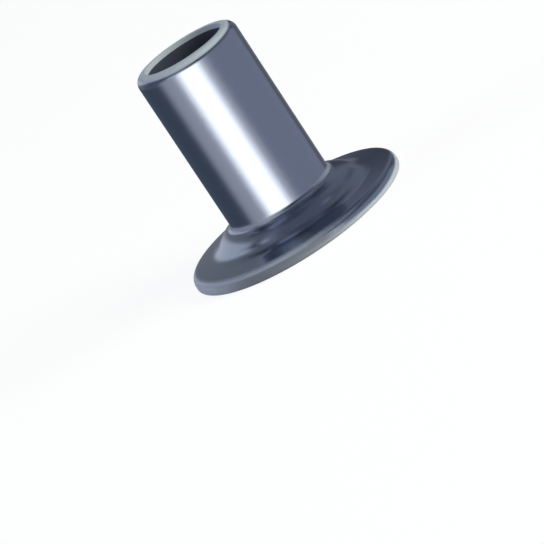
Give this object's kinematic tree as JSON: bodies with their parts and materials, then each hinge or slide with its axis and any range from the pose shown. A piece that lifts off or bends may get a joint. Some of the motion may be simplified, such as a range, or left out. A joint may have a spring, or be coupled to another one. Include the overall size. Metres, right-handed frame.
{
  "type": "tubular rivet",
  "caption": "Hollow rivet drawn from one piece of plated steel: straight bored shank, open bevelled end, wide flared head with a rounded shoulder and a thin brim.",
  "frame": {"origin": "on the rivet's axis, in the plane of the head's face that it stands on", "axes": "+Z along the rivet's axis, from the head towards the open end; +X and +Y are free, because the rivet is round"},
  "size_m": [0.0084, 0.0084, 0.0075],
  "materials": {
    "plated_steel": "bright zinc plate with a pale blue cast, smooth and softly glossy"
  },
  "bodies": {
    "root": {"tubular_rivet": "plated_steel"}
  },
  "joints": []
}
